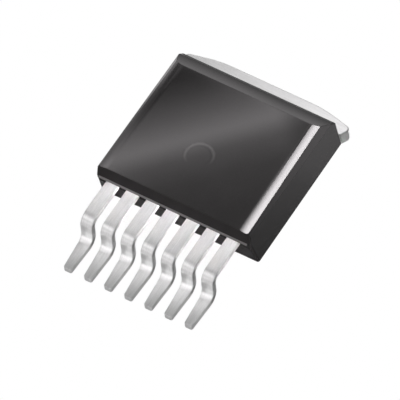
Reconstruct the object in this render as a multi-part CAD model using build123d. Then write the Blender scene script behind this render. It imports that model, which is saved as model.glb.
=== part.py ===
from build123d import *
import math
import os

# Power transistor in a seven-lead surface-mount package, in millimetres.
# Frame: +X along the row of leads, +Y towards the drain tab, +Z up.
# The origin is the centre of the package's footprint, on the soldering plane.

# Driving dimensions of the whole package
OVERALL_LENGTH = 15.4  # lead tips to the end of the tab
LEAD_REACH = 4.98  # front of the moulding to the lead tips
PACKAGE_HEIGHT = 3.1
PARTING_HEIGHT = 2.15  # plane of the leads, where the two mould halves meet at the front

FRONT_Y = LEAD_REACH - OVERALL_LENGTH / 2
TAB_END_Y = OVERALL_LENGTH / 2

# Moulding: sides drafted from base to top, front widest at the parting plane
BODY_WIDTH = 10.0  # across the base
BODY_LENGTH = 9.35
SIDE_DRAFT = 3.5  # degrees
FRONT_DRAFT = 7.0  # degrees, above the parting plane
FRONT_UNDERCUT = 0.5  # set-back of the base below the leads
BACK_PARTING_INSET = 0.2
BACK_BEVEL_LENGTH = 0.93
BACK_BEVEL_DROP = 0.58
TOP_LENGTH = 7.8
TOP_FRONT_WIDTH = 9.4
TOP_BACK_WIDTH = 9.12
SHOULDER_WIDTH = 0.55
SHOULDER_DROP = 0.105
SIDE_BEVEL_RUN = 0.75  # outward travel of the side bevel for each unit of drop
FRONT_CORNER_RADIUS = 0.18
BACK_CORNER_RADIUS = 0.08
BEVEL_EDGE_RADIUS = 0.16

# Ejector-pin mark in the top face
MARK_X = -0.2
MARK_FROM_FRONT = 3.25
MARK_RADIUS = 0.79
MARK_DEPTH = 0.035
MARK_WALL = 0.05

# Flash land left by the parting plane along the row of leads
LAND_START_X = -4.72
LAND_END_X = 4.68
LAND_HEIGHT = 0.11
LAND_DEPTH = 0.06

# Drain tab, the copper slug that carries the die
TAB_THICKNESS = 0.88
TAB_WIDTH = 10.65
TAB_ROOT_WIDTH = 9.98  # where the tab leaves the moulding
TAB_STRAIGHT_END = 6.6  # between the two bends of the tab's far edge
TAB_CORNER_DROP = 0.46
TAB_END_RADIUS = 7.0  # softens the two bends of the far edge
TAB_CORNER_RADIUS = 0.26
NECK_WIDTH = 8.8
PAD_WIDTH = 7.4
PAD_FRONT = 2.4  # from the front of the moulding to the exposed pad
LEDGE_WIDTH = 8.3
LEDGE_FRONT = 2.0
LEDGE_UNDERSIDE = 0.44
GROOVE_FROM_END = 1.75
GROOVE_DEPTH = 0.15
EDGE_RADIUS = 0.08  # rounding left by stamping on the tab's top edges

# Leads, one row of gull wings
LEAD_COUNT = 7
LEAD_PITCH = 1.27
LEAD_WIDTH = 0.75
LEAD_TIP_WIDTH = 0.5
LEAD_THICKNESS = 0.36
LEAD_DROP_FRONT = 2.87  # front of the moulding to the face of the vertical run
TOE_RISE = 0.06  # the foot leans down towards its toe by this much
SHOULDER_BEND_RADIUS = 0.65
SHOULDER_BEND_INNER = 0.29
HEEL_BEND_RADIUS = 0.78
HEEL_BEND_INNER = 0.42
TIP_CORNER_RADIUS = 0.1
POST_BACK = 1.45  # the bond posts end here, inside the moulding
POST_FRONT = 0.45
SMALL_POST_WIDTH = 1.0

# Die and die attach
DIE_WIDTH = 4.4
DIE_LENGTH = 4.0
DIE_THICKNESS = 0.18
DIE_FROM_FRONT = 4.9
ATTACH_THICKNESS = 0.06
ATTACH_MARGIN = 0.12

# Bond wires: heavy for the source, thin for the gate and driver source
SOURCE_WIRE_COUNT = 6
SOURCE_WIRE_RADIUS = 0.15
SOURCE_PAD_X = -0.78
SOURCE_PAD_STEP = 0.54
SOURCE_PAD_FROM_FRONT = 4.3
SOURCE_POST_X = -1.12
SOURCE_POST_STEP = 0.95
POST_BOND_FROM_FRONT = 0.95
SIGNAL_WIRE_RADIUS = 0.08
GATE_PAD = (-1.85, 3.35)
DRIVER_PAD = (-1.45, 4.35)
LOOP_HEIGHT = 2.6
WIRE_FLATS = 8  # each wire's section is a many-sided outline
FOOT_LENGTH = 0.6
FOOT_WIDTH_IN_RADII = 2.7
FOOT_HEIGHT_IN_RADII = 1.3
FOOT_SINK = 0.02

MARGIN = 3.0  # how far cutting tools reach past the package


def from_front(distance):
    """Y of a point that lies this far behind the front of the moulding."""
    return FRONT_Y + distance


def lead_x(index):
    """X of a lead's middle, counted from the gate end of the row."""
    return (index - (LEAD_COUNT - 1) / 2) * LEAD_PITCH


def side_sketch(outline):
    """A closed (y, z) outline as a face in the YZ plane."""
    return make_face(Plane.YZ * outline)


def prism_x(face, half_width):
    """A solid that reaches half_width to both sides of a face in the YZ plane."""
    return extrude(face, half_width, both=True)


def moulding_side_face():
    """Front, top, back bevel and tab end of the moulding, seen from +X."""
    upper = PACKAGE_HEIGHT - PARTING_HEIGHT
    top_front = from_front(upper * math.tan(math.radians(FRONT_DRAFT)))
    top_back = top_front + TOP_LENGTH
    bevel_foot = (top_back + BACK_BEVEL_LENGTH, PACKAGE_HEIGHT - BACK_BEVEL_DROP)
    outline = Polyline(
        (from_front(FRONT_UNDERCUT), 0),
        (from_front(0), PARTING_HEIGHT),
        (top_front, PACKAGE_HEIGHT),
        (top_back, PACKAGE_HEIGHT),
        bevel_foot,
        (from_front(BODY_LENGTH - BACK_PARTING_INSET), PARTING_HEIGHT),
        (from_front(BODY_LENGTH), 0),
        close=True,
    )
    face = side_sketch(outline)
    foot = face.vertices().sort_by_distance((0, *bevel_foot))[0]
    return fillet(foot, BEVEL_EDGE_RADIUS)


def moulding_end_profile():
    """Both drafted sides of the moulding, seen along Y."""
    base = BODY_WIDTH / 2
    top = base - PACKAGE_HEIGHT * math.tan(math.radians(SIDE_DRAFT))
    return Polyline(
        (-base, 0), (-top, PACKAGE_HEIGHT), (top, PACKAGE_HEIGHT), (base, 0), close=True
    )


def side_bevel_tool(side):
    """Cutter for the rounded shoulder and the bevel along one side of the top face.

    It runs along the top face's edge, which closes in towards the tab.
    """
    turn = math.degrees(math.atan2((TOP_FRONT_WIDTH - TOP_BACK_WIDTH) / 2, TOP_LENGTH))
    shoulder_radius = (SHOULDER_WIDTH**2 + SHOULDER_DROP**2) / (2 * SHOULDER_DROP)
    sweep_angle = math.asin(SHOULDER_WIDTH / shoulder_radius)
    middle = sweep_angle / 2
    arc_middle = (
        -SHOULDER_WIDTH + shoulder_radius * math.sin(middle),
        -shoulder_radius * (1 - math.cos(middle)),
    )
    shoulder = ThreePointArc((-SHOULDER_WIDTH, 0), arc_middle, (0, -SHOULDER_DROP))
    rest = Polyline(
        (0, -SHOULDER_DROP),
        (MARGIN * SIDE_BEVEL_RUN, -SHOULDER_DROP - MARGIN),
        (2 * MARGIN, -SHOULDER_DROP - MARGIN),
        (2 * MARGIN, 1),
        (-SHOULDER_WIDTH, 1),
        (-SHOULDER_WIDTH, 0),
    )
    section = make_face(Plane.XZ * (shoulder + rest))
    tool = extrude(section, BODY_LENGTH + 2 * MARGIN, both=True)
    if side < 0:
        tool = mirror(tool, Plane.YZ)
    edge = Location((side * TOP_FRONT_WIDTH / 2, FRONT_Y, PACKAGE_HEIGHT), (0, 0, side * turn))
    return edge * tool


def ejector_mark_tool():
    """Shallow round recess with a sloping wall."""
    mark = Cone(
        MARK_RADIUS - MARK_WALL,
        MARK_RADIUS,
        MARK_DEPTH,
        align=(Align.CENTER, Align.CENTER, Align.MAX),
    )
    return Pos(MARK_X, from_front(MARK_FROM_FRONT), PACKAGE_HEIGHT) * mark


def flash_land():
    """Thin ridge on the front face, just above the row of leads."""
    outline = Polyline(
        (from_front(2 * LAND_DEPTH), PARTING_HEIGHT),
        (from_front(-LAND_DEPTH), PARTING_HEIGHT),
        (from_front(-LAND_DEPTH), PARTING_HEIGHT + LAND_HEIGHT / 3),
        (from_front(2 * LAND_DEPTH), PARTING_HEIGHT + 1.6 * LAND_HEIGHT),
        close=True,
    )
    middle = (LAND_START_X + LAND_END_X) / 2
    return Pos(middle, 0, 0) * prism_x(side_sketch(outline), (LAND_END_X - LAND_START_X) / 2)


def moulding_block():
    """The moulding's outside, before it is cut to fit round the pieces inside."""
    along = prism_x(moulding_side_face(), BODY_WIDTH)
    across = extrude(make_face(Plane.XZ * moulding_end_profile()), OVERALL_LENGTH, both=True)
    block = along & across

    def upright_edges(end):
        """Corner edges at the front (end = -1) or at the back (end = 1)."""

        def is_upright(edge):
            middle = edge.position_at(0.5)
            steep = abs((edge % 0.5).Z) > 0.5
            return steep and end * middle.Y > 0 and abs(middle.X) > 0.46 * BODY_WIDTH

        return block.edges().filter_by(is_upright)

    block = fillet(upright_edges(-1), FRONT_CORNER_RADIUS)
    block = fillet(upright_edges(1), BACK_CORNER_RADIUS)
    return block - side_bevel_tool(-1) - side_bevel_tool(1)


def moulding(inner_pieces):
    """The finished moulding, with cavities that fit the pieces it encloses."""
    body = moulding_block() + flash_land()
    body -= ejector_mark_tool()
    for piece in inner_pieces:
        body -= piece
    return body


def tab_plate():
    """The part of the tab behind the moulding, with its long shallow corner cuts."""
    inner = from_front(BODY_LENGTH)
    root, half, straight = TAB_ROOT_WIDTH / 2, TAB_WIDTH / 2, TAB_STRAIGHT_END / 2
    outline = Polyline(
        (-root, inner),
        (root, inner),
        (half, TAB_END_Y - TAB_CORNER_DROP),
        (straight, TAB_END_Y),
        (-straight, TAB_END_Y),
        (-half, TAB_END_Y - TAB_CORNER_DROP),
        close=True,
    )
    plate = extrude(make_face(outline), TAB_THICKNESS)
    corners = plate.edges().filter_by(Axis.Z).group_by(Axis.Y)
    plate = fillet(corners[-1], TAB_END_RADIUS)
    plate = fillet(plate.edges().filter_by(Axis.Z).group_by(Axis.Y)[1], TAB_CORNER_RADIUS)
    outer_top = plate.faces().sort_by(Axis.Z)[-1].edges().sort_by(Axis.Y)[1:]
    return fillet(outer_top, EDGE_RADIUS)


def block_between(width, y_start, y_end, z_start, z_end):
    """A plain block, centred on the package across its width."""
    return Pos(0, (y_start + y_end) / 2, (z_start + z_end) / 2) * Box(
        width, y_end - y_start, z_end - z_start
    )


def drain_tab():
    """Copper slug: exposed pad, mould-lock ledge, neck, tab plate and moisture groove."""
    inner = from_front(BODY_LENGTH)
    neck_front = inner - GROOVE_FROM_END / 2
    tab = tab_plate()
    tab += block_between(NECK_WIDTH, neck_front, inner, 0, TAB_THICKNESS)
    tab += block_between(PAD_WIDTH, from_front(PAD_FRONT), neck_front, 0, TAB_THICKNESS)
    tab += block_between(
        LEDGE_WIDTH, from_front(LEDGE_FRONT), neck_front, LEDGE_UNDERSIDE, TAB_THICKNESS
    )
    groove_y = inner - GROOVE_FROM_END / 2 - GROOVE_DEPTH
    groove = Polyline(
        (groove_y - GROOVE_DEPTH, TAB_THICKNESS),
        (groove_y, TAB_THICKNESS - GROOVE_DEPTH),
        (groove_y + GROOVE_DEPTH, TAB_THICKNESS),
        close=True,
    )
    return tab - prism_x(side_sketch(groove), LEDGE_WIDTH / 2 - GROOVE_DEPTH)


def die_centre_y():
    return from_front(DIE_FROM_FRONT)


def die_attach():
    """Solder layer under the die."""
    layer = Box(
        DIE_WIDTH + 2 * ATTACH_MARGIN,
        DIE_LENGTH + 2 * ATTACH_MARGIN,
        ATTACH_THICKNESS,
        align=(Align.CENTER, Align.CENTER, Align.MIN),
    )
    return Pos(0, die_centre_y(), TAB_THICKNESS) * layer


def die_top():
    """Height of the die's bond pads."""
    return TAB_THICKNESS + ATTACH_THICKNESS + DIE_THICKNESS


def sic_die():
    """The silicon carbide chip."""
    chip = Box(
        DIE_WIDTH, DIE_LENGTH, DIE_THICKNESS, align=(Align.CENTER, Align.CENTER, Align.MAX)
    )
    return Pos(0, die_centre_y(), die_top()) * chip


def lead_side_face():
    """Gull-wing section of a lead: post, shoulder bend, drop, heel bend and foot."""
    drop_face = from_front(-LEAD_DROP_FRONT)
    drop_back = drop_face + LEAD_THICKNESS
    tip = from_front(-LEAD_REACH)
    post = from_front(POST_BACK)
    top = FilletPolyline(
        (post, PARTING_HEIGHT),
        (drop_face, PARTING_HEIGHT),
        (drop_face, LEAD_THICKNESS + TOE_RISE),
        (tip, LEAD_THICKNESS),
        radius=[SHOULDER_BEND_RADIUS, HEEL_BEND_INNER],
    )
    underside = FilletPolyline(
        (post, PARTING_HEIGHT - LEAD_THICKNESS),
        (drop_back, PARTING_HEIGHT - LEAD_THICKNESS),
        (drop_back, TOE_RISE * 1.2),
        (tip, 0),
        radius=[SHOULDER_BEND_INNER, HEEL_BEND_RADIUS],
    )
    ends = [Line(top @ 0, underside @ 0), Line(top @ 1, underside @ 1)]
    return side_sketch(Curve() + [top, underside, *ends])


def lead_blank(index):
    """One lead up to the end of its post, with softened edges outside the moulding."""
    x = lead_x(index)
    half, tip_half = LEAD_WIDTH / 2, LEAD_TIP_WIDTH / 2
    bend = from_front(-LEAD_DROP_FRONT)
    tip = from_front(-LEAD_REACH)
    plan = Polyline(
        (x - half, from_front(POST_BACK)),
        (x - half, bend),
        (x - tip_half, tip),
        (x + tip_half, tip),
        (x + half, bend),
        (x + half, from_front(POST_BACK)),
        close=True,
    )
    column = extrude(make_face(plan), PACKAGE_HEIGHT)
    column = fillet(column.edges().filter_by(Axis.Z).group_by(Axis.Y)[0], TIP_CORNER_RADIUS)
    return Pos(x, 0, 0) * prism_x(lead_side_face(), LEAD_PITCH / 2) & column


def bond_post(x_left, x_right):
    """Widened inner end of one or more leads, where the wires are bonded."""
    post = block_between(
        x_right - x_left,
        from_front(POST_FRONT),
        from_front(POST_BACK),
        PARTING_HEIGHT - LEAD_THICKNESS,
        PARTING_HEIGHT,
    )
    post = fillet(post.edges().filter_by(Axis.Z), TIP_CORNER_RADIUS)
    return Pos((x_left + x_right) / 2, 0, 0) * post


def signal_lead(index):
    """A lead of its own, with a small bond post."""
    x = lead_x(index)
    return lead_blank(index) + bond_post(x - SMALL_POST_WIDTH / 2, x + SMALL_POST_WIDTH / 2)


def power_leads(first, last):
    """The source leads, joined inside the moulding by one wide post."""
    half = SMALL_POST_WIDTH / 2
    leads = bond_post(lead_x(first) - half, lead_x(last) + half)
    for index in range(first, last + 1):
        leads += lead_blank(index)
    return leads


def bond_wire(pad, post, radius):
    """A looped wire with a wedge foot on the die's pad and another on the lead's post."""
    run = math.hypot(post[0] - pad[0], post[1] - pad[1])
    along = Vector(post[0] - pad[0], post[1] - pad[1], 0)
    plane = Plane(origin=(pad[0], pad[1], 0), x_dir=along, z_dir=along.cross(Vector(0, 0, 1)))
    low = die_top() + radius + FOOT_SINK
    high = PARTING_HEIGHT + radius + FOOT_SINK
    foot = FOOT_LENGTH / 2
    rise, fall = 0.3 * run, 0.42 * run
    route = Polyline(
        (-foot * 0.9, low),
        (foot, low),
        (0.55 * rise + 0.45 * foot, low + 0.62 * (LOOP_HEIGHT - low)),
        (rise, LOOP_HEIGHT - 0.04),
        (0.5 * run, LOOP_HEIGHT),
        (run - fall, LOOP_HEIGHT - 0.08),
        (run - foot, high),
        (run + foot * 0.9, high),
    )
    route = plane * route
    section = Plane(origin=route @ 0, z_dir=route % 0) * RegularPolygon(radius, WIRE_FLATS)
    wire = sweep(section, path=route, transition=Transition.RIGHT)
    turn = math.degrees(math.atan2(along.Y, along.X))
    for place, height in ((pad, die_top()), (post, PARTING_HEIGHT)):
        foot_block = Box(
            FOOT_LENGTH,
            FOOT_WIDTH_IN_RADII * radius,
            FOOT_HEIGHT_IN_RADII * radius,
            align=(Align.CENTER, Align.CENTER, Align.MIN),
        )
        wire += Location((place[0], place[1], height), (0, 0, turn)) * foot_block
    return wire


def signal_wire(pad, index):
    """A thin wire from a pad of the die to the post of one lead."""
    pad_place = (pad[0], from_front(pad[1]))
    post_place = (lead_x(index), from_front(POST_BOND_FROM_FRONT))
    return bond_wire(pad_place, post_place, SIGNAL_WIRE_RADIUS)


def source_wire(index):
    """One of the heavy wires that fan out from the die to the source post."""
    pad_place = (SOURCE_PAD_X + index * SOURCE_PAD_STEP, from_front(SOURCE_PAD_FROM_FRONT))
    post_place = (
        SOURCE_POST_X + index * SOURCE_POST_STEP,
        from_front(POST_BOND_FROM_FRONT),
    )
    return bond_wire(pad_place, post_place, SOURCE_WIRE_RADIUS)


def build_pieces():
    """Every piece of the package by name; the moulding is fitted to the others."""
    pieces = {
        "drain_tab": drain_tab(),
        "die_attach": die_attach(),
        "sic_die": sic_die(),
        "gate_lead": signal_lead(0),
        "driver_source_lead": signal_lead(1),
        "power_source_leads": power_leads(2, LEAD_COUNT - 1),
        "gate_bond_wire": signal_wire(GATE_PAD, 0),
        "driver_source_bond_wire": signal_wire(DRIVER_PAD, 1),
    }
    for index in range(SOURCE_WIRE_COUNT):
        pieces[f"source_bond_wire_{index + 1}"] = source_wire(index)
    pieces["mould_body"] = moulding(pieces.values())
    return pieces


os.makedirs("parts", exist_ok=True)
for name, piece in build_pieces().items():
    export_step(piece, f"parts/{name}.step")
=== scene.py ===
import math
from functools import partial

import bmesh
import bpy
from bpy.props import FloatProperty, FloatVectorProperty, PointerProperty
from mathutils import Matrix, Vector


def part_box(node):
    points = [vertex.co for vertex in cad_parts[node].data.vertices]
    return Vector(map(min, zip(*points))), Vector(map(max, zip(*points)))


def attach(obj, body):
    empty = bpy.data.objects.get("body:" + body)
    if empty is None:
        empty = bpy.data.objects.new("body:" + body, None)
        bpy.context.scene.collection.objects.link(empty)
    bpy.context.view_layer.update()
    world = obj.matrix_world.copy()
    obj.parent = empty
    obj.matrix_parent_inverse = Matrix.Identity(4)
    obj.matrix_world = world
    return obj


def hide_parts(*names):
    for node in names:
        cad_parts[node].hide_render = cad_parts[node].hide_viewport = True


# Looks of a power transistor in a seven-lead surface-mount package.
# Metres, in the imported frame: +X along the row of leads, +Y towards the tab, +Z up.
# The lights are local panels, set for the camera's angle; most show in one finish only.

bl_info = {
    "name": "Seven-lead power transistor",
    "version": (1, 0, 0),
    "blender": (4, 5, 0),
    "location": "3D View > Sidebar > Transistor",
    "description": "Moulded body, gull-wing leads, plated tab and studio for a power transistor",
    "category": "Add Mesh",
}

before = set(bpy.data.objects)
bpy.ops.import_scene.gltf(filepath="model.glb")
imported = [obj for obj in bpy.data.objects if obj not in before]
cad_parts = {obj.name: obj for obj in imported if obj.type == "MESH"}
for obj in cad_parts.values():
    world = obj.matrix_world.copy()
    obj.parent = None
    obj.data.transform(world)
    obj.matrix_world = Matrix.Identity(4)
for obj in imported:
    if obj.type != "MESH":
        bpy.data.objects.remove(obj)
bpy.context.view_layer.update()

MM = 0.001
BODY = "root"
WIRE_NODES = ["gate_bond_wire", "driver_source_bond_wire"]
WIRE_NODES += [f"source_bond_wire_{index + 1}" for index in range(6)]
INNER_NODES = ["sic_die", "die_attach", *WIRE_NODES]
LEAD_GROUPS = {  # node: index of its first lead, number of leads
    "gate_lead": (0, 1),
    "driver_source_lead": (1, 1),
    "power_source_leads": (2, 5),
}
SMOOTH_ANGLE = math.radians(18)  # steeper edges than this stay crisp

mould_low, mould_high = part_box("mould_body")
gate_low, gate_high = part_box("gate_lead")
driver_low, driver_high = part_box("driver_source_lead")
LEAD_PITCH = (driver_low.x + driver_high.x - gate_low.x - gate_high.x) / 2
FIRST_LEAD_X = (gate_low.x + gate_high.x) / 2
PARTING_HEIGHT = gate_high.z
LAND_DEPTH = 0.06 * MM  # how far the flash land stands out from the front
LAND_START, LAND_END = -4.72 * MM, 4.68 * MM  # its ends along X
FRONT_Y = mould_low.y + LAND_DEPTH
MARK_X, MARK_Y = -0.2 * MM, FRONT_Y + 3.25 * MM  # middle of the ejector-pin mark

# Small rounds between the moulding's flat faces.
TOP_FRONT_ROUND = 0.05 * MM
TOP_BACK_ROUND = 0.22 * MM
BACK_ROUND = 0.16 * MM
BASE_ROUND = 0.06 * MM
SIDE_BEVEL_ROUND = 0.2 * MM
BACK_SIDE_ROUND = 0.1 * MM
FRONT_STEPS, BACK_STEPS, SMALL_STEPS = 8, 5, 4  # facets of each kind of round
SHOULDER_STEPS = 20

# Facets and steps of the leads.
BEND_POINTS = 24
EDGE_POINTS = 3
PATH_STEP = 0.03 * MM

UP, RIGHT, BACK, LEFT, FRONT, DOWN = (
    (0, 0, 1), (1, 0, 0), (0, 1, 0), (-1, 0, 0), (0, -1, 0), (0, 0, -1)
)


def length(default_mm, name, description):
    """A length property, with its default given in millimetres."""
    return FloatProperty(
        name=name,
        description=description,
        default=default_mm * MM,
        min=0.0,
        precision=5,
        unit="LENGTH",
    )


def angle(default_degrees, name, description):
    """An angle property, with its default given in degrees."""
    return FloatProperty(
        name=name, description=description, default=math.radians(default_degrees), unit="ROTATION"
    )


def colour(default, name, description):
    """A colour property."""
    return FloatVectorProperty(
        name=name,
        description=description,
        default=default,
        subtype="COLOR",
        size=3,
        min=0.0,
        max=1.0,
    )


class MouldingSizes(bpy.types.PropertyGroup):
    """Sizes of the moulded body that the frame's boxes don't give."""

    side_draft: angle(3.5, "Side draft", "Lean of the sides")
    front_draft: angle(7.0, "Front draft", "Lean of the front above the parting plane")
    front_undercut: length(0.5, "Front undercut", "Set-back of the base below the leads")
    back_inset: length(0.2, "Back inset", "Set-back of the back at the parting plane")
    bevel_length: length(0.93, "Bevel length", "Back bevel, measured along the body")
    bevel_drop: length(0.58, "Bevel drop", "Back bevel, measured downwards")
    top_length: length(7.8, "Top length", "Length of the flat top face")
    top_front_width: length(9.36, "Top front width", "Width of the top at the lead end")
    top_back_width: length(9.08, "Top back width", "Width of the top at the tab end")
    shoulder_width: length(0.55, "Shoulder width", "Width of each rounded shoulder in front")
    shoulder_back_width: length(0.6, "Shoulder back width", "Its width at the back")
    shoulder_drop: length(0.105, "Shoulder drop", "Fall of each rounded shoulder")
    side_bevel_run: FloatProperty(
        name="Side bevel run",
        description="Outward travel of the side bevel for each unit of drop",
        default=0.75,
    )
    front_corner: length(0.18, "Front corner", "Rounding of the front's upright corners")
    back_corner: length(0.08, "Back corner", "Rounding of the back's upright corners")
    mark_radius: length(0.79, "Mark radius", "Radius of the ejector-pin mark")
    mark_depth: length(0.012, "Mark depth", "Depth of the ejector-pin mark")
    land_height: length(0.11, "Land height", "Height of the flash land above the leads")


class LeadSizes(bpy.types.PropertyGroup):
    """Sizes of the gull-wing leads."""

    width: length(0.75, "Width", "Width of a lead up to its bend")
    tip_width: length(0.5, "Tip width", "Width of a lead at its tip")
    thickness: length(0.36, "Thickness", "Thickness of the lead frame")
    drop_front: length(2.87, "Drop", "Front of the body to the face of the upright run")
    toe_rise: length(0.06, "Toe rise", "Fall of the foot from its heel to its toe")
    shoulder_radius: length(0.47, "Shoulder radius", "Radius of the upper bend's middle line")
    heel_radius: length(0.6, "Heel radius", "Radius of the lower bend's middle line")
    edge_radius: length(0.05, "Edge radius", "Rounding of the long edges")
    tip_radius: length(0.1, "Tip radius", "Rounding of the tip's corners in plan")
    post_length: length(1.0, "Post length", "Length of the bond post inside the body")


class FinishColours(bpy.types.PropertyGroup):
    """Base colours of the finishes."""

    moulding: colour((0.031, 0.0285, 0.029), "Moulding", "Epoxy moulding compound")
    # This colour also paints the highlight on the pin mark's rim.
    flash: colour((0.26, 0.25, 0.25), "Flash", "Scuffed edge of the moulding's parting line")
    plating: colour((0.765, 0.775, 0.77), "Plating", "Matte tin plating")
    die: colour((0.30, 0.33, 0.36), "Die", "Silicon carbide chip")
    solder: colour((0.50, 0.50, 0.51), "Solder", "Die attach")
    wire: colour((0.86, 0.86, 0.87), "Wire", "Drawn aluminium wire")


class StudioSettings(bpy.types.PropertyGroup):
    """Camera and light of the studio."""

    azimuth: angle(35.9446, "Azimuth", "Camera's turn about the upright axis")
    elevation: angle(56.0829, "Elevation", "Camera's height above the horizon")
    roll: angle(6.1304, "Roll", "Camera's turn about its own axis")
    distance: length(588.07, "Distance", "Camera to object")
    focal_length: FloatProperty(
        name="Focal length", description="Focal length in millimetres", default=980.1, unit="CAMERA"
    )
    across: FloatProperty(
        name="Across", description="Aim's shift to the right", default=1.5301 * MM, unit="LENGTH"
    )
    upwards: FloatProperty(
        name="Upwards", description="Aim's shift upwards", default=-0.1047 * MM, unit="LENGTH"
    )
    ambient: FloatProperty(
        name="Ambient", description="Brightness of the surroundings", default=0.3, min=0.0
    )


# ---------------------------------------------------------------- node trees


class Signal:
    """A socket in a node tree; arithmetic on it adds Math nodes."""

    def __init__(self, sheet, socket):
        self.sheet = sheet
        self.socket = socket

    def __add__(self, other):
        return self.sheet.math("ADD", self, other)

    def __sub__(self, other):
        return self.sheet.math("SUBTRACT", self, other)

    def __rsub__(self, other):
        return self.sheet.math("SUBTRACT", other, self)

    def __mul__(self, other):
        return self.sheet.math("MULTIPLY", self, other)

    def __truediv__(self, other):
        return self.sheet.math("DIVIDE", self, other)

    __radd__ = __add__
    __rmul__ = __mul__

    def clamped(self):
        return self.sheet.math("MAXIMUM", self.sheet.math("MINIMUM", self, 1.0), 0.0)

    def size(self):
        return self.sheet.math("ABSOLUTE", self)

    def root(self):
        return self.sheet.math("SQRT", self)


class Sheet:
    """Adds nodes to one tree."""

    def __init__(self, tree):
        self.tree = tree

    def add(self, kind, settings=None, sockets=None):
        """A new node's first output; settings go first, then its sockets' values or links."""
        node = self.tree.nodes.new(kind)
        for name, value in (settings or {}).items():
            if name == "stops":
                self.set_stops(node.color_ramp, value)
            elif name == "items":
                for _ in range(value - len(node.index_switch_items)):
                    node.index_switch_items.new()
            else:
                setattr(node, name, value)
        for name, value in (sockets or {}).items():
            self.feed(node.inputs[name], value)
        return Signal(self, node.outputs[0]) if node.outputs else node

    def set_stops(self, ramp, stops):
        """Grey stops of a ramp, given as pairs of a place and a value."""
        ramp.elements.remove(ramp.elements[1])
        ramp.elements[0].position = stops[0][0]
        for position, value in stops[1:]:
            ramp.elements.new(position)
        for element, (position, value) in zip(ramp.elements, stops):
            element.color = (value, value, value, 1.0)

    def feed(self, socket, value):
        """Links or sets one input socket; a list links each of its items."""
        for item in value if isinstance(value, list) else [value]:
            if isinstance(item, Signal):
                self.tree.links.new(item.socket, socket)
            else:
                socket.default_value = item

    def math(self, operation, *values):
        return self.add("ShaderNodeMath", {"operation": operation}, dict(enumerate(values)))

    def vector(self, x, y, z):
        return self.add("ShaderNodeCombineXYZ", None, {"X": x, "Y": y, "Z": z})

    def output_of(self, signal, name):
        """Another output of the node that a signal comes from."""
        return Signal(self, signal.socket.node.outputs[name])


# ---------------------------------------------------------------- finishes


def new_material(name):
    """An empty node material and the sheet that fills it."""
    material = bpy.data.materials.new(name)
    material.use_nodes = True
    material.node_tree.nodes.clear()
    return material, Sheet(material.node_tree)


def finish_surface(sheet, sockets, constants):
    """The surface shader, linked to the material's output."""
    surface = sheet.add("ShaderNodeBsdfPrincipled", None, {**constants, **sockets})
    sheet.add("ShaderNodeOutputMaterial", None, {"Surface": surface})


def noise(sheet, place, per_mm, detail=3.0, roughness=0.55):
    """Noise with a given number of blotches to the millimetre."""
    return sheet.add(
        "ShaderNodeTexNoise",
        {"noise_dimensions": "3D"},
        {"Vector": place, "Scale": per_mm / MM, "Detail": detail, "Roughness": roughness},
    )


def stretched(sheet, place, scale):
    """Object coordinates with each axis scaled by its own factor."""
    return sheet.add(
        "ShaderNodeVectorMath", {"operation": "MULTIPLY"}, {0: place, 1: scale}
    )


def object_place(sheet):
    """Object coordinates."""
    coordinates = sheet.add("ShaderNodeTexCoord")
    return sheet.output_of(coordinates, "Object")


def blend_colours(sheet, factor, first, second):
    """Mix of two colours."""
    return blend_signals(sheet, factor, (*first, 1), second)


def blend_signals(sheet, factor, first, second):
    """Mix of a first colour, as a signal or four channels, and a plain colour."""
    places = {0: factor, 6: first, 7: (*second, 1)}  # factor and the two colour sockets
    mix = sheet.add("ShaderNodeMix", {"data_type": "RGBA"}, places)
    return sheet.output_of(mix, 2)


def bump(sheet, height, strength, distance_mm):
    """A normal raised by a height signal."""
    return sheet.add(
        "ShaderNodeBump",
        None,
        {"Height": height, "Strength": strength, "Distance": distance_mm * MM},
    )


def scaled(base, factor):
    """A colour made darker or paler, up to white."""
    return tuple(min(1.0, channel * factor) for channel in base)


def near(value, middle, reach, fade):
    """1 close to the middle, falling to 0 at reach from it over the fade."""
    return ((reach - (value - middle).size()) / fade).clamped()


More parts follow.
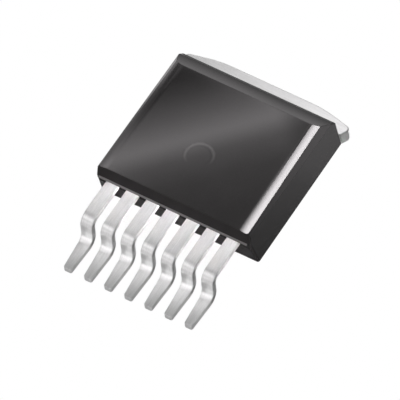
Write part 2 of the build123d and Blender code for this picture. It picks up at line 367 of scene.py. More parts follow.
def moulding_finish(colours, sizes):
    """Black epoxy: fine grain, faint flow clouds, matte front, pale flash line; on the pin mark, a
    painted highlight along its rim and painted shade inside it.
    """
    material, sheet = new_material("epoxy_moulding")
    place = object_place(sheet)
    split = sheet.add("ShaderNodeSeparateXYZ", None, {"Vector": place})
    x, y, z = (sheet.output_of(split, name) for name in "XYZ")
    grain = noise(sheet, place, 14.0, 4.0, 0.62)
    cloud = noise(sheet, place, 0.35, 2.0)
    base = colours.moulding
    tint = (cloud * 0.7 + grain * 0.6 - 0.2).clamped()
    plain = blend_colours(sheet, tint, scaled(base, 0.75), scaled(base, 1.3))
    front = ((FRONT_Y + 0.16 * MM - y) / (0.05 * MM)).clamped()
    half_land = sizes.land_height / 2
    flash = near(z, PARTING_HEIGHT + half_land, 1.6 * half_land, half_land)
    flash = flash * front * near(x, 0.0, LAND_END + 0.02 * MM, 0.04 * MM)
    # Painted highlight on the upper-left arc of the pin mark's rim, and painted shade just inside
    # the opposite arc, placed where light and shadow would fall on its sloping wall.
    mark_x, mark_y = x - MARK_X, y - MARK_Y
    radius = (mark_x * mark_x + mark_y * mark_y).root()
    rim = 0.12 * MM
    painted_rim_highlight = near(radius, sizes.mark_radius, rim, rim)
    painted_rim_highlight = painted_rim_highlight * ((mark_y - mark_x * 0.4) / sizes.mark_radius + 0.7).clamped()
    painted_mark_shade = near(radius, sizes.mark_radius - 0.15 * MM, rim, rim)
    painted_mark_shade = painted_mark_shade * ((mark_y + mark_x * 0.6) / sizes.mark_radius).clamped()
    # The plain colour, darkened by the painted shade in the pin mark.
    plain = blend_signals(sheet, painted_mark_shade * 0.7, plain, scaled(base, 0.2))
    # Pale flash colour along the parting line, plus the painted highlight on the pin mark's rim.
    pale = (flash * (0.7 + 0.6 * grain) + painted_rim_highlight * 0.5).clamped()
    colour_mix = blend_signals(sheet, pale, plain, colours.flash)
    polish = 0.17 + 0.06 * (grain - 0.5) + 0.03 * (cloud - 0.5)
    roughness = (polish + 0.45 * front).clamped()
    normal = bump(sheet, grain, 0.10, 0.012)
    finish_surface(
        sheet,
        {"Base Color": colour_mix, "Roughness": roughness, "Normal": normal},
        {"IOR": 1.5, "Specular IOR Level": 0.2},
    )
    return material


def plating_finish(colours, name, lines_scale):
    """Matte tin: drawing lines, crystal grain, dull patches; leads get a painted highlight round
    their heels and painted shade just below their upper bends.
    """
    material, sheet = new_material(name)
    place = object_place(sheet)
    split = sheet.add("ShaderNodeSeparateXYZ", None, {"Vector": place})
    y, z = (sheet.output_of(split, name) for name in "YZ")
    # Painted light on the leads' upright runs only: a painted highlight round the heels and painted
    # shade just below the upper bends.
    upright = ((FRONT_Y - 2.5 * MM - y) / (0.1 * MM)).clamped()
    painted_heel_highlight = near(z, 0.85 * MM, 0.38 * MM, 0.25 * MM) * upright
    painted_bend_shade = near(z, 1.76 * MM, 0.16 * MM, 0.12 * MM) * upright
    lines = noise(sheet, stretched(sheet, place, lines_scale), 1.6, 3.0, 0.6)
    grain = noise(sheet, place, 22.0, 3.0, 0.6)
    patches = noise(sheet, place, 0.8, 3.0)
    base = colours.plating
    # Random tone from patches, lines and grain, plus the painted highlight and painted shade.
    shade = 0.25 * patches + 0.46 * lines + 0.34 * grain - 0.04 + 0.32 * painted_heel_highlight - 0.4 * painted_bend_shade
    colour_mix = blend_colours(sheet, shade.clamped(), scaled(base, 0.6), scaled(base, 1.29))
    roughness = (0.36 + 0.12 * (patches - 0.5) + 0.08 * (lines - 0.5)).clamped()
    height = 0.6 * lines + 0.4 * grain
    finish_surface(
        sheet,
        {
            "Base Color": colour_mix,
            "Roughness": roughness,
            "Normal": bump(sheet, height, 0.12, 0.008),
        },
        {"Metallic": 1.0},
    )
    return material


def grained_metal(name, base, per_mm, roughness_value, metallic):
    """A plain metal or chip surface with fine grain."""
    material, sheet = new_material(name)
    place = object_place(sheet)
    grain = noise(sheet, place, per_mm, 3.0, 0.6)
    colour_mix = blend_colours(sheet, grain, scaled(base, 0.8), scaled(base, 1.15))
    roughness = (roughness_value + 0.15 * (grain - 0.5)).clamped()
    finish_surface(
        sheet,
        {
            "Base Color": colour_mix,
            "Roughness": roughness,
            "Normal": bump(sheet, grain, 0.1, 0.005),
        },
        {"Metallic": metallic},
    )
    return material


# ---------------------------------------------------------------- mesh helpers


def link_piece(name, mesh, material):
    """A new object for a finished mesh, at the origin."""
    piece = bpy.data.objects.new(name, mesh)
    bpy.context.scene.collection.objects.link(piece)
    mesh.materials.clear()
    mesh.materials.append(material)
    return piece


def applied(piece):
    """Turns a piece's modifiers into its plain mesh."""
    evaluated = piece.evaluated_get(bpy.context.evaluated_depsgraph_get())
    mesh = bpy.data.meshes.new_from_object(evaluated)
    mesh.name = piece.name
    piece.modifiers.clear()
    piece.data = mesh
    return piece


def soften(piece, crisp_heights=()):
    """Smooth shading between shallow facets; flat faces stay flat."""
    bm = bmesh.new()
    bm.from_mesh(piece.data)
    for face in bm.faces:
        face.smooth = True
    slack = 0.001 * MM
    for edge in bm.edges:
        start, end = (vert.co.z for vert in edge.verts)
        level = abs(start - end) < slack
        crisp = level and any(abs(start - height) < 2 * slack for height in crisp_heights)
        steep = edge.calc_face_angle(math.pi) > SMOOTH_ANGLE
        edge.smooth = not (steep or crisp)
    bm.to_mesh(piece.data)
    bm.free()
    weighted = piece.modifiers.new("flat_faces", "WEIGHTED_NORMAL")
    weighted.keep_sharp = True
    return applied(piece)


def boolean(piece, other, operation):
    """Adds or cuts another object's volume, then drops that object."""
    modifier = piece.modifiers.new(operation.lower(), "BOOLEAN")
    modifier.operation = operation
    modifier.solver = "EXACT"
    modifier.object = other
    applied(piece)
    bpy.data.objects.remove(other)


def merged_copy(node):
    """A closed copy of a node of the frame, used as a cutter."""
    bm = bmesh.new()
    bm.from_mesh(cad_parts[node].data)
    bmesh.ops.remove_doubles(bm, verts=bm.verts, dist=0.0005 * MM)
    mesh = bpy.data.meshes.new(f"{node}_cutter")
    bm.to_mesh(mesh)
    bm.free()
    cutter = bpy.data.objects.new(mesh.name, mesh)
    bpy.context.scene.collection.objects.link(cutter)
    return cutter


def prism(name, outline_yz, x_start, x_end):
    """A closed prism along X from an outline of (y, z) points."""
    bm = bmesh.new()
    face = bm.faces.new([bm.verts.new((x_start, y, z)) for y, z in outline_yz])
    swept = bmesh.ops.extrude_face_region(bm, geom=[face])["geom"]
    moved = [item for item in swept if isinstance(item, bmesh.types.BMVert)]
    bmesh.ops.translate(bm, verts=moved, vec=(x_end - x_start, 0, 0))
    bmesh.ops.recalc_face_normals(bm, faces=bm.faces)
    mesh = bpy.data.meshes.new(name)
    bm.to_mesh(mesh)
    bm.free()
    tool = bpy.data.objects.new(name, mesh)
    bpy.context.scene.collection.objects.link(tool)
    return tool


# ---------------------------------------------------------------- moulded body


class Plane:
    """A flat cut: everything on the normal's side of it goes."""

    def __init__(self, point, normal):
        self.normal = Vector(normal).normalized()
        self.reach = self.normal.dot(Vector(point))

    def mirrored(self):
        """The same cut on the other side of the body."""
        normal = Vector((-self.normal.x, self.normal.y, self.normal.z))
        return Plane(normal * self.reach, normal)


def rounding(first, second, radius, steps):
    """Cuts that follow a round of one radius between two planes."""
    cosine = first.normal.dot(second.normal)
    reach_a, reach_b = first.reach - radius, second.reach - radius
    share_a = (reach_a - cosine * reach_b) / (1 - cosine**2)
    share_b = (reach_b - cosine * reach_a) / (1 - cosine**2)
    centre = first.normal * share_a + second.normal * share_b
    for step in range(1, steps):
        normal = first.normal.slerp(second.normal, step / steps)
        yield Plane(centre + normal * radius, normal)


def shoulder_cuts(sizes, turn):
    """Cuts that follow the rounded shoulder on the +X side, which widens to the back."""
    sweep_angle = 2 * math.atan2(sizes.shoulder_drop, sizes.shoulder_width)
    outward = Vector((math.cos(turn), math.sin(turn), 0))
    along = Vector((-math.sin(turn), math.cos(turn), 0)) * sizes.top_length
    edge = Vector((sizes.top_front_width / 2, FRONT_Y, mould_high.z))

    def touch(width, tilt):
        """Where the plane with this tilt meets the round, for a shoulder of this width."""
        rise = Vector((0, 0, math.cos(tilt) - 1))
        radius = width / math.sin(sweep_angle)
        return edge - outward * width + (outward * math.sin(tilt) + rise) * radius

    for step in range(SHOULDER_STEPS):
        tilt = sweep_angle * (step + 0.5) / SHOULDER_STEPS
        across = outward * math.cos(tilt) - Vector((0, 0, math.sin(tilt)))
        front, back = (touch(w, tilt) for w in (sizes.shoulder_width, sizes.shoulder_back_width))
        yield Plane(front, across.cross(back + along - front))


def bevel_plane(sizes, turn):
    """The bevel outside the shoulder, on the +X side."""
    outward = Vector((math.cos(turn), math.sin(turn), 0))
    edge = Vector((sizes.top_front_width / 2, FRONT_Y, mould_high.z - sizes.shoulder_drop))
    return Plane(edge, outward + Vector((0, 0, sizes.side_bevel_run)))


def moulding_planes(sizes):
    """Every cut that shapes the body from a block."""
    half_width = (mould_high.x - mould_low.x) / 2
    back_y = mould_high.y
    top = Plane((0, 0, mould_high.z), (0, 0, 1))
    bottom = Plane((0, 0, 0), (0, 0, -1))
    front_point = (0, FRONT_Y, PARTING_HEIGHT)
    front_upper = Plane(front_point, (0, -1, math.tan(sizes.front_draft)))
    front_lower = Plane(front_point, (0, -1, -sizes.front_undercut / PARTING_HEIGHT))
    side = Plane((half_width, 0, 0), (1, 0, math.tan(sizes.side_draft)))
    upper_height = mould_high.z - PARTING_HEIGHT
    bevel_y = FRONT_Y + upper_height * math.tan(sizes.front_draft) + sizes.top_length
    back_bevel = Plane(
        (0, bevel_y, mould_high.z), (0, sizes.bevel_drop, sizes.bevel_length)
    )
    bevel_foot = Vector((0, bevel_y + sizes.bevel_length, mould_high.z - sizes.bevel_drop))
    parting_back = Vector((0, back_y - sizes.back_inset, PARTING_HEIGHT))
    back_run = parting_back - bevel_foot
    back_upper = Plane(parting_back, (0, -back_run.z, back_run.y))
    back_lower = Plane((0, back_y, 0), (0, PARTING_HEIGHT, sizes.back_inset))
    turn = math.atan2((sizes.top_front_width - sizes.top_back_width) / 2, sizes.top_length)
    side_bevel = bevel_plane(sizes, turn)
    front_corner, back_corner = sizes.front_corner, sizes.back_corner

    yield from (top, bottom, front_upper, front_lower, back_bevel, back_upper, back_lower)
    yield from rounding(top, front_upper, TOP_FRONT_ROUND, SMALL_STEPS)
    yield from rounding(top, back_bevel, TOP_BACK_ROUND, SMALL_STEPS)
    yield from rounding(back_bevel, back_upper, BACK_ROUND, SMALL_STEPS)
    yield from rounding(bottom, front_lower, BASE_ROUND, SMALL_STEPS)
    yield from rounding(bottom, back_lower, BASE_ROUND, SMALL_STEPS)
    one_side = [side, side_bevel]
    one_side += shoulder_cuts(sizes, turn)
    one_side += rounding(side, side_bevel, SIDE_BEVEL_ROUND, SMALL_STEPS)
    one_side += rounding(bottom, side, BASE_ROUND, SMALL_STEPS)
    one_side += rounding(front_upper, side, front_corner, FRONT_STEPS)
    one_side += rounding(front_lower, side, front_corner, FRONT_STEPS)
    one_side += rounding(front_upper, side_bevel, front_corner, FRONT_STEPS)
    one_side += rounding(back_upper, side, back_corner, BACK_STEPS)
    one_side += rounding(back_lower, side, back_corner, BACK_STEPS)
    one_side += rounding(back_bevel, side_bevel, BACK_SIDE_ROUND, BACK_STEPS)
    for cut in one_side:
        yield cut
        yield cut.mirrored()


def cut_block(planes):
    """A convex block that keeps what lies inside every plane."""
    larger_than_body = 40 * MM
    bm = bmesh.new()
    bmesh.ops.create_cube(bm, size=larger_than_body)
    for plane in planes:
        geometry = list(bm.verts) + list(bm.edges) + list(bm.faces)
        cut = bmesh.ops.bisect_plane(
            bm,
            geom=geometry,
            dist=1e-8,
            plane_co=plane.normal * plane.reach,
            plane_no=plane.normal,
            clear_outer=True,
        )
        rim = [item for item in cut["geom_cut"] if isinstance(item, bmesh.types.BMEdge)]
        if len(rim) > 2:
            bmesh.ops.contextual_create(bm, geom=rim)
    bmesh.ops.remove_doubles(bm, verts=bm.verts, dist=1e-7)
    bmesh.ops.recalc_face_normals(bm, faces=bm.faces)
    mesh = bpy.data.meshes.new("moulding")
    bm.to_mesh(mesh)
    bm.free()
    return mesh


def mark_tool(sizes):
    """The disc that leaves the ejector-pin mark, with a sloping wall."""
    bm = bmesh.new()
    wall = 0.07 * MM
    depth = 2 * sizes.mark_depth
    bmesh.ops.create_cone(
        bm,
        cap_ends=True,
        segments=96,
        radius1=sizes.mark_radius - wall,
        radius2=sizes.mark_radius + wall,
        depth=depth,
    )
    bmesh.ops.translate(bm, verts=bm.verts, vec=(MARK_X, MARK_Y, mould_high.z))
    mesh = bpy.data.meshes.new("mark_tool")
    bm.to_mesh(mesh)
    bm.free()
    tool = bpy.data.objects.new("mark_tool", mesh)
    bpy.context.scene.collection.objects.link(tool)
    return tool


def land_prism(sizes):
    """The thin flash land on the front, just above the leads."""
    height = sizes.land_height
    outline = [
        (FRONT_Y + 2 * LAND_DEPTH, PARTING_HEIGHT),
        (FRONT_Y - LAND_DEPTH, PARTING_HEIGHT),
        (FRONT_Y - LAND_DEPTH, PARTING_HEIGHT + height / 3),
        (FRONT_Y + 2 * LAND_DEPTH, PARTING_HEIGHT + 1.6 * height),
    ]
    return prism("flash_land", outline, LAND_START, LAND_END)


class TRANSISTOR_OT_moulding(bpy.types.Operator):
    """Build the moulded body, with its cavities"""

    bl_idname = "transistor.moulding"
    bl_label = "Moulded body"

    def execute(self, context):
        sizes = context.scene.moulding_sizes
        material = moulding_finish(context.scene.finish_colours, sizes)
        piece = link_piece("moulding", cut_block(moulding_planes(sizes)), material)
        boolean(piece, land_prism(sizes), "UNION")
        boolean(piece, mark_tool(sizes), "DIFFERENCE")
        for node in ["drain_tab", *LEAD_GROUPS, *INNER_NODES]:
            boolean(piece, merged_copy(node), "DIFFERENCE")
        soften(piece, [PARTING_HEIGHT])
        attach(piece, BODY)
        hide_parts("mould_body")
        return {"FINISHED"}


# ---------------------------------------------------------------- leads


LEAD_LENGTHS = [
    "Row start", "Pitch", "Front", "Post end", "Tip", "Parting height", "Width", "Tip width",
    "Thickness", "Drop", "Toe rise", "Shoulder radius", "Heel radius", "Edge radius", "Tip radius",
]
LEAD_INPUTS = {"First lead": "NodeSocketInt", "Leads": "NodeSocketInt"}
LEAD_INPUTS |= {name: "NodeSocketFloat" for name in LEAD_LENGTHS}
LEAD_INPUTS |= {"Material": "NodeSocketMaterial"}


def lead_row_tree():
    """Geometry Nodes tree: a row of gull-wing leads, without the bond post that they share."""
    tree = bpy.data.node_groups.new("gull_wing_leads", "GeometryNodeTree")
    for name, kind in LEAD_INPUTS.items():
        tree.interface.new_socket(name, in_out="INPUT", socket_type=kind)
    tree.interface.new_socket("Leads", in_out="OUTPUT", socket_type="NodeSocketGeometry")
    sheet = Sheet(tree)
    inputs = tree.nodes.new("NodeGroupInput")
    given = {name: Signal(sheet, inputs.outputs[name]) for name in LEAD_INPUTS}
    half = given["Thickness"] * 0.5
    upper_z = given["Parting height"] - half
    upright_y = given["Front"] - given["Drop"] + half
    corner_rise = given["Toe rise"] * 1.05  # the sharp corner lies a little behind the heel
    corners = [
        sheet.vector(0.0, given["Post end"], upper_z),
        sheet.vector(0.0, upright_y, upper_z),
        sheet.vector(0.0, upright_y, half + corner_rise),
        sheet.vector(0.0, given["Tip"], half),
    ]
    index = sheet.add("GeometryNodeInputIndex")
    places = sheet.add(
        "GeometryNodeIndexSwitch",
        {"data_type": "VECTOR", "items": 4},
        {0: index, 1: corners[0], 2: corners[1], 3: corners[2], 4: corners[3]},
    )
    line = sheet.add("GeometryNodeMeshLine", None, {"Count": 4})
    bent = sheet.add("GeometryNodeSetPosition", None, {"Geometry": line, "Position": places})
    path = sheet.add("GeometryNodeMeshToCurve", None, {"Mesh": bent})
    radii = sheet.add(
        "GeometryNodeIndexSwitch",
        {"data_type": "FLOAT", "items": 4},
        {0: index, 1: 0.0, 2: given["Shoulder radius"], 3: given["Heel radius"], 4: 0.0},
    )
    route = sheet.add(
        "GeometryNodeFilletCurve",
        {"mode": "POLY"},
        {"Curve": path, "Radius": radii, "Limit Radius": True, "Count": BEND_POINTS},
    )
    route = sheet.add(
        "GeometryNodeResampleCurve",
        {"mode": "LENGTH"},
        {"Curve": route, "Length": PATH_STEP},
    )
    outline = sheet.add(
        "GeometryNodeCurvePrimitiveQuadrilateral",
        {"mode": "RECTANGLE"},
        {"Width": given["Width"], "Height": given["Thickness"]},
    )
    rounded = {"Radius": given["Edge radius"], "Limit Radius": True, "Count": EDGE_POINTS}
    section = sheet.add("GeometryNodeFilletCurve", {"mode": "POLY"}, {"Curve": outline, **rounded})
    bar = sheet.add(
        "GeometryNodeCurveToMesh",
        None,
        {"Curve": route, "Profile Curve": section, "Fill Caps": True},
    )
    shaped = sheet.add(
        "GeometryNodeSetPosition", None, {"Geometry": bar, "Position": tapered(sheet, given)}
    )
    first_x = given["First lead"] * given["Pitch"] + given["Row start"]
    row = sheet.add(
        "GeometryNodeMeshLine",
        {"mode": "OFFSET"},
        {
            "Count": given["Leads"],
            "Start Location": sheet.vector(first_x, 0.0, 0.0),
            "Offset": sheet.vector(given["Pitch"], 0.0, 0.0),
        },
    )
    leads = sheet.add("GeometryNodeInstanceOnPoints", None, {"Points": row, "Instance": shaped})
    leads = sheet.add("GeometryNodeRealizeInstances", None, {"Geometry": leads})
    finished = sheet.add(
        "GeometryNodeSetMaterial", None, {"Geometry": leads, "Material": given["Material"]}
    )
    sheet.add("NodeGroupOutput", None, {"Leads": finished})
    return tree


def tapered(sheet, given):
    """Positions of a lead's points once it narrows to its tip, with the tip's corners rounded."""
    position = sheet.add("GeometryNodeInputPosition")
    split = sheet.add("ShaderNodeSeparateXYZ", None, {"Vector": position})
    x, y, z = (sheet.output_of(split, name) for name in "XYZ")
    from_tip = y - given["Tip"]
    bend = given["Front"] - given["Drop"]
    share = (from_tip / (bend - given["Tip"])).clamped()
    width = given["Tip width"] + (given["Width"] - given["Tip width"]) * share
    depth = (1.0 - from_tip / given["Tip radius"]).clamped()
    inset = given["Tip radius"] * (1.0 - (1.0 - depth * depth).root())
    factor = (width - 2.0 * inset) / given["Width"]
    return sheet.vector(x * factor, y, z)


def lead_piece(name, tree, values, material):
    """One node's leads as a plain mesh."""
    piece = link_piece(name, bpy.data.meshes.new(name), material)
    modifier = piece.modifiers.new("leads", "NODES")
    modifier.node_group = tree
    for item in tree.interface.items_tree:
        if item.in_out == "INPUT":
            modifier[item.identifier] = values[item.name]
    return applied(piece)


def bond_post(x_start, x_end, sizes):
    """The widened inner end where the wires are bonded."""
    end_y = gate_high.y
    outline = [
        (end_y - sizes.post_length, PARTING_HEIGHT - sizes.thickness),
        (end_y, PARTING_HEIGHT - sizes.thickness),
        (end_y, PARTING_HEIGHT),
        (end_y - sizes.post_length, PARTING_HEIGHT),
    ]
    return prism("bond_post", outline, x_start, x_end)


class TRANSISTOR_OT_leads(bpy.types.Operator):
    """Build the gate, driver source and power source leads"""

    bl_idname = "transistor.leads"
    bl_label = "Gull-wing leads"

    def execute(self, context):
        sizes = context.scene.lead_sizes
        colours = context.scene.finish_colours
        material = plating_finish(colours, "tin_plated_lead", (9.0, 0.7, 0.7))
        tree = lead_row_tree()
        for node, (first, count) in LEAD_GROUPS.items():
            values = {
                "First lead": first,
                "Leads": count,
                "Row start": FIRST_LEAD_X,
                "Pitch": LEAD_PITCH,
                "Front": FRONT_Y,
                "Post end": gate_high.y,
                "Tip": gate_low.y,
                "Parting height": PARTING_HEIGHT,
                "Width": sizes.width,
                "Tip width": sizes.tip_width,
                "Thickness": sizes.thickness,
                "Drop": sizes.drop_front,
                "Toe rise": sizes.toe_rise,
                "Shoulder radius": sizes.shoulder_radius,
                "Heel radius": sizes.heel_radius,
                "Edge radius": sizes.edge_radius,
                "Tip radius": sizes.tip_radius,
                "Material": material,
            }
            piece = lead_piece(f"{node}_plated", tree, values, material)
            low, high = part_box(node)
            boolean(piece, bond_post(low.x, high.x, sizes), "UNION")
            soften(piece)
            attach(piece, BODY)
            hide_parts(node)
        return {"FINISHED"}


# ---------------------------------------------------------------- tab and inner pieces


def dress(node, material):
    """Gives a node of the frame its finish."""
    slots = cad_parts[node].data.materials
    slots.clear()
    slots.append(material)


class TRANSISTOR_OT_tab(bpy.types.Operator):
    """Finish the drain tab"""

    bl_idname = "transistor.tab"
    bl_label = "Drain tab"

    def execute(self, context):
        colours = context.scene.finish_colours
        dress("drain_tab", plating_finish(colours, "tin_plated_tab", (0.7, 9.0, 9.0)))
        return {"FINISHED"}


class TRANSISTOR_OT_inner(bpy.types.Operator):
    """Finish the die, its solder and the bond wires"""

    bl_idname = "transistor.inner"
    bl_label = "Die and bond wires"

    def execute(self, context):
        colours = context.scene.finish_colours
        dress("sic_die", grained_metal("chip", colours.die, 6.0, 0.2, 0.2))
        dress("die_attach", grained_metal("solder", colours.solder, 9.0, 0.45, 1.0))
        wire = grained_metal("aluminium_wire", colours.wire, 12.0, 0.3, 1.0)
        for node in WIRE_NODES:
            dress(node, wire)
        return {"FINISHED"}


# ---------------------------------------------------------------- stage


def view_axes(settings):
    """Unit vectors to the camera's right, upwards and back from the object."""
    azimuth, elevation = settings.azimuth, settings.elevation
    right = Vector((math.cos(azimuth), math.sin(azimuth), 0))
    back = Vector(
        (
            math.sin(azimuth) * math.cos(elevation),
            -math.cos(azimuth) * math.cos(elevation),
            math.sin(elevation),
        )
    )
    return right, back.cross(right), back


def place_camera(settings):
    """Sets the camera at the settings' angle, turned about its own axis by the roll."""
    right, up, back = view_axes(settings)
    aim = Vector((0, FRONT_Y, mould_high.z)) + right * settings.across + up * settings.upwards
    turned_right = right * math.cos(settings.roll) - up * math.sin(settings.roll)
    turned_up = right * math.sin(settings.roll) + up * math.cos(settings.roll)
    place = aim + back * settings.distance
    camera = bpy.data.objects.new("camera", bpy.data.cameras.new("camera"))
    camera.data.sensor_width = 36.0
    camera.data.lens = settings.focal_length
    camera.data.clip_start = 0.01
    camera.data.clip_end = 10.0
    turn = Matrix((turned_right, turned_up, back)).transposed().to_4x4()
    camera.matrix_world = Matrix.Translation(place) @ turn
    bpy.context.scene.collection.objects.link(camera)
    bpy.context.scene.camera = camera


LIGHT_TINT = (1.0, 0.965, 0.98)


def at(x, from_front, z):
    """A place given in millimetres, with Y measured from the front of the moulding."""
    return Vector((x * MM, FRONT_Y + from_front * MM, z * MM))


def falloff(light, stops, fade):
    """Makes a light's brightness follow the stops along it, and fade out across it."""
    light.use_nodes = True
    light.node_tree.nodes.clear()
    sheet = Sheet(light.node_tree)
    place = sheet.output_of(sheet.add("ShaderNodeNewGeometry"), "Parametric")
    split = sheet.add("ShaderNodeSeparateXYZ", None, {"Vector": place})
    across, along = (sheet.output_of(split, name) for name in "XY")
    ramp = sheet.add("ShaderNodeValToRGB", {"stops": stops}, {"Fac": along})
    strength = near(across, 0.5, 0.5, fade)
    glow = sheet.add("ShaderNodeEmission", None, {"Color": ramp, "Strength": strength})
    sheet.add("ShaderNodeOutputLight", None, {"Surface": glow})


def softbox(name, middle, away, along, size, radiance, receivers, stops=None, fade=0.01, **rays):
    """A rectangular light that shines against the direction away, on some receivers only.

    Its size is in millimetres: across, then in the direction along, in which its
    brightness follows the stops; across, it fades out over a share of its size.
    Rays turns off kinds of ray that it is seen by."""
    light = bpy.data.lights.new(name, "AREA")
    light.shape = "RECTANGLE"
    light.size, light.size_y = size[0] * MM, size[1] * MM
    light.energy = radiance * math.pi * light.size * light.size_y
    light.color = LIGHT_TINT
    if stops:
        falloff(light, stops, fade)
    lamp = bpy.data.objects.new(name, light)
    z_axis = Vector(away).normalized()
    x_axis = Vector(along).cross(z_axis).normalized()
    turn = Matrix((x_axis, z_axis.cross(x_axis), z_axis)).transposed()
    lamp.matrix_world = Matrix.Translation(middle) @ turn.to_4x4()
    lamp.visible_camera = False
    for kind, value in rays.items():
        setattr(lamp, kind, value)
    bpy.context.scene.collection.objects.link(lamp)
    lamp.light_linking.receiver_collection = receivers
    return lamp


def light_moulding(receivers):
    """Lights for the moulding only; all but the last show in its gloss and nowhere else."""
    gloss = partial(softbox, receivers=receivers, visible_diffuse=False)
    gloss(
        "sheen", at(-2.906, 5.062, 6.1), UP, (-0.729, 0.6845, 0), (15, 14), 7.0, fade=0.12,
        stops=[(0.1, 0.02), (0.3, 0.13), (0.42, 0.37), (0.5, 1.0), (0.61, 0.48), (0.72, 0.13),
               (0.8, 0.0)],
    )
    gloss(
        "edge_strip", at(11.9, 57, 103), UP, RIGHT, (50, 75), 52,
        stops=[(0.0, 0.05), (0.13, 0.25), (0.6, 0.93), (0.85, 1.0)],
    )
    gloss(
        "bevel_glow", at(-0.7, 10.55, 5.1), BACK, UP, (14, 5.8), 2.0,
        stops=[(0.0, 0.0), (0.04, 0.22), (0.13, 1.0), (1.0, 0.4)],
    )
    gloss(
        "rim_glow", at(1.3, 10.6, 5.2), BACK, UP, (6, 2.8), 2.2, fade=0.3,
        stops=[(0.0, 0.0), (0.3, 1.0), (0.7, 1.0), (1.0, 0.0)],
    )
    gloss(
        "side_glow", at(6.7, 3.5, 0.03), DOWN, BACK, (3.6, 15), 0.5,
        stops=[(0.2, 1.0), (0.27, 0.1), (0.31, 0.0), (0.53, 0.24), (0.66, 0.42), (0.75, 0.7),
               (0.86, 0.82)],
    )
    for name, height, tall, radiance in (("end_glow", 3.3, 3, 3.2), ("end_glow_low", 0.9, 1.8, 2.4)):
        gloss(
            name, at(8.5, 6.5, height), RIGHT, BACK, (tall, 14), radiance,
            stops=[(0.2, 0.27), (0.74, 1.0)],
        )
    gloss(
        "left_glow", at(-12, 9.0, 12.0), LEFT, BACK, (16, 18), 3.0,
        stops=[(0.25, 1.05), (0.44, 0.75), (0.55, 0.24), (0.75, 0.17), (1.0, 0.0)],
    )
    gloss(
        "left_rim", at(-11.7, 11.8, 6.9), LEFT, BACK, (4, 6), 4.2, fade=0.35,
        stops=[(0.12, 0.0), (0.28, 0.3), (0.42, 0.8), (0.58, 1.0)],
    )
    gloss(
        "left_floor", at(-9, 6.5, 0.03), DOWN, BACK, (6, 14), 0.9,
        stops=[(0.1, 0.3), (0.35, 0.1), (0.5, 0.15), (0.65, 0.8), (0.75, 1.0)],
    )
    softbox(
        "front_fill", at(-4, -40, 8), (-0.1, -1, 0.15), UP, (40, 40), 1.5, receivers,
        visible_glossy=False,
    )


def light_metal(receivers):
    """Lights for the leads and the tab only."""
    metal = partial(softbox, receivers=receivers)
    over_leads = metal(
        "over_leads", at(-1.3, 0.9, 6.0), UP, BACK, (16, 7), 0.9,
        stops=[(0.16, 0.0), (0.25, 0.3), (0.33, 0.61), (0.4, 0.52), (0.53, 0.75), (0.63, 1.08),
               (0.94, 2.4)],
    )
    beside_leads = metal(
        "beside_leads", at(0, -0.5, 0.03), DOWN, BACK, (14, 4), 1.17,
        stops=[(0.15, 0.0), (0.27, 0.08), (0.38, 0.85), (0.5, 1.15), (0.8, 1.6)],
    )
    beside_tab = metal("beside_tab", at(6.5, 9.5, 0.03), DOWN, BACK, (5, 6), 0.25)
    for lamp in (over_leads, beside_leads, beside_tab):
        lamp.data.use_shadow = False
        lamp.data.cycles.use_multiple_importance_sampling = False
    bends = at(0, -3, 1)
    far = 50 * MM
    low_front, zenith = Vector((-0.33, -0.83, 0.45)), Vector((-0.33, -0.19, 0.93))
    metal(
        "bend_glow", bends + low_front * far, low_front, UP, (60, 60), 0.95,
        stops=[(0.1, 0.3), (0.5, 0.42), (0.9, 1.25)],
    )
    metal("heel_glow", at(-2.5, -8, 1.8), FRONT, UP, (14, 3.6), 0.68)
    metal("heel_near", at(-1, -3.6, 0.9), FRONT, UP, (12, 0.7), 0.16)
    metal("shoulder_near", at(0, -2.9, 2.45), UP, BACK, (12, 0.3), 0.3)
    metal(
        "foot_glow", at(-0.8, -3.6, 1.6), UP, BACK, (14, 1.5), 0.2,
        stops=[(0.2, 0.0), (0.5, 0.5), (0.8, 1.0)],
    )
    metal("bend_zenith", bends + zenith * far, zenith, BACK, (60, 22), 0.65)
    metal(
        "floor_bounce", at(-2, -7.5, 0.03), DOWN, BACK, (18, 9), 0.9,
        stops=[(0.5, 1.0), (0.7, 0.9), (0.76, 0.3), (0.79, 0.12), (0.9, 0.28)],
    )
    metal("behind_tab", at(-6, 30, 4), (-0.25, 1, 0.1), UP, (30, 14), 0.9)
    metal(
        "over_tab", at(-1, 12.8, 6.0), UP, RIGHT, (6.5, 14), 0.95,
        stops=[(0.21, 0.55), (0.75, 1.0)],
    )


def floor_material():
    """White paper: matte for reflected light, evenly white to look at, without shadows."""
    material, sheet = new_material("studio_floor")
    matte = sheet.add("ShaderNodeBsdfDiffuse", None, {"Color": (0.8, 0.8, 0.8, 1)})
    seen = sheet.output_of(sheet.add("ShaderNodeLightPath"), "Is Camera Ray")
    glow = sheet.add("ShaderNodeEmission", None, {"Strength": 1.0})
    both = sheet.add("ShaderNodeMixShader", None, {0: seen, 1: matte, 2: glow})
    sheet.add("ShaderNodeOutputMaterial", None, {"Surface": both})
    return material


def lay_floor():
    """A wide flat floor, just clear of the part."""
    half, level = 2000 * MM, -0.01 * MM
    mesh = bpy.data.meshes.new("floor")
    corners = [(-half, -half), (half, -half), (half, half), (-half, half)]
    mesh.from_pydata([(x, y, level) for x, y in corners], [], [(0, 1, 2, 3)])
    link_piece("floor", mesh, floor_material())


def collection_of(name, objects):
    """A collection for light linking."""
    group = bpy.data.collections.new(name)
    for item in objects:
        group.objects.link(item)
    return group


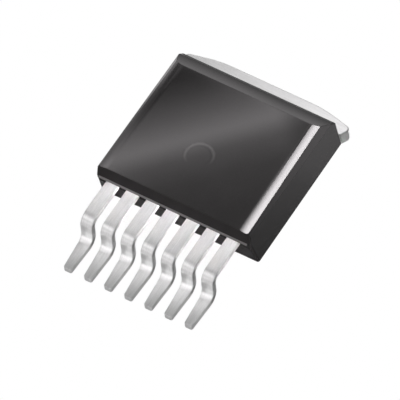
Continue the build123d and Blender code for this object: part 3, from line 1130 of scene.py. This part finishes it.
class TRANSISTOR_OT_stage(bpy.types.Operator):
    """Lay the floor, set the lights and place the camera"""

    bl_idname = "transistor.stage"
    bl_label = "Studio"

    def execute(self, context):
        settings = context.scene.studio_settings
        scene = context.scene
        scene.view_settings.view_transform = "Standard"
        scene.view_settings.look = "None"
        world = bpy.data.worlds.new("studio")
        scene.world = world
        world.use_nodes = True
        background = world.node_tree.nodes["Background"]
        background.inputs["Color"].default_value = (1, 1, 1, 1)
        background.inputs["Strength"].default_value = settings.ambient
        lay_floor()
        leads = [bpy.data.objects[f"{node}_plated"] for node in LEAD_GROUPS]
        light_moulding(collection_of("plastic", [bpy.data.objects["moulding"]]))
        light_metal(collection_of("metal", [*leads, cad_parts["drain_tab"]]))
        place_camera(settings)
        return {"FINISHED"}


# ---------------------------------------------------------------- add-on


OPERATORS = [
    TRANSISTOR_OT_moulding,
    TRANSISTOR_OT_leads,
    TRANSISTOR_OT_tab,
    TRANSISTOR_OT_inner,
    TRANSISTOR_OT_stage,
]
SETTINGS = {
    "moulding_sizes": MouldingSizes,
    "lead_sizes": LeadSizes,
    "finish_colours": FinishColours,
    "studio_settings": StudioSettings,
}


class TRANSISTOR_PT_panel(bpy.types.Panel):
    """Sidebar panel with every step in order"""

    bl_idname = "TRANSISTOR_PT_panel"
    bl_label = "Seven-lead power transistor"
    bl_space_type = "VIEW_3D"
    bl_region_type = "UI"
    bl_category = "Transistor"

    def draw(self, context):
        for group in SETTINGS:
            box = self.layout.box()
            settings = getattr(context.scene, group)
            for name in settings.__annotations__:
                box.prop(settings, name)
        for operator in OPERATORS:
            self.layout.operator(operator.bl_idname)


def register():
    for group in SETTINGS.values():
        bpy.utils.register_class(group)
    for name, group in SETTINGS.items():
        setattr(bpy.types.Scene, name, PointerProperty(type=group))
    for operator in OPERATORS:
        bpy.utils.register_class(operator)
    bpy.utils.register_class(TRANSISTOR_PT_panel)


def unregister():
    bpy.utils.unregister_class(TRANSISTOR_PT_panel)
    for operator in reversed(OPERATORS):
        bpy.utils.unregister_class(operator)
    for name in SETTINGS:
        delattr(bpy.types.Scene, name)
    for group in SETTINGS.values():
        bpy.utils.unregister_class(group)


def main():
    register()
    bpy.ops.transistor.moulding()
    bpy.ops.transistor.leads()
    bpy.ops.transistor.tab()
    bpy.ops.transistor.inner()
    bpy.ops.transistor.stage()


if __name__ == "__main__":
    main()
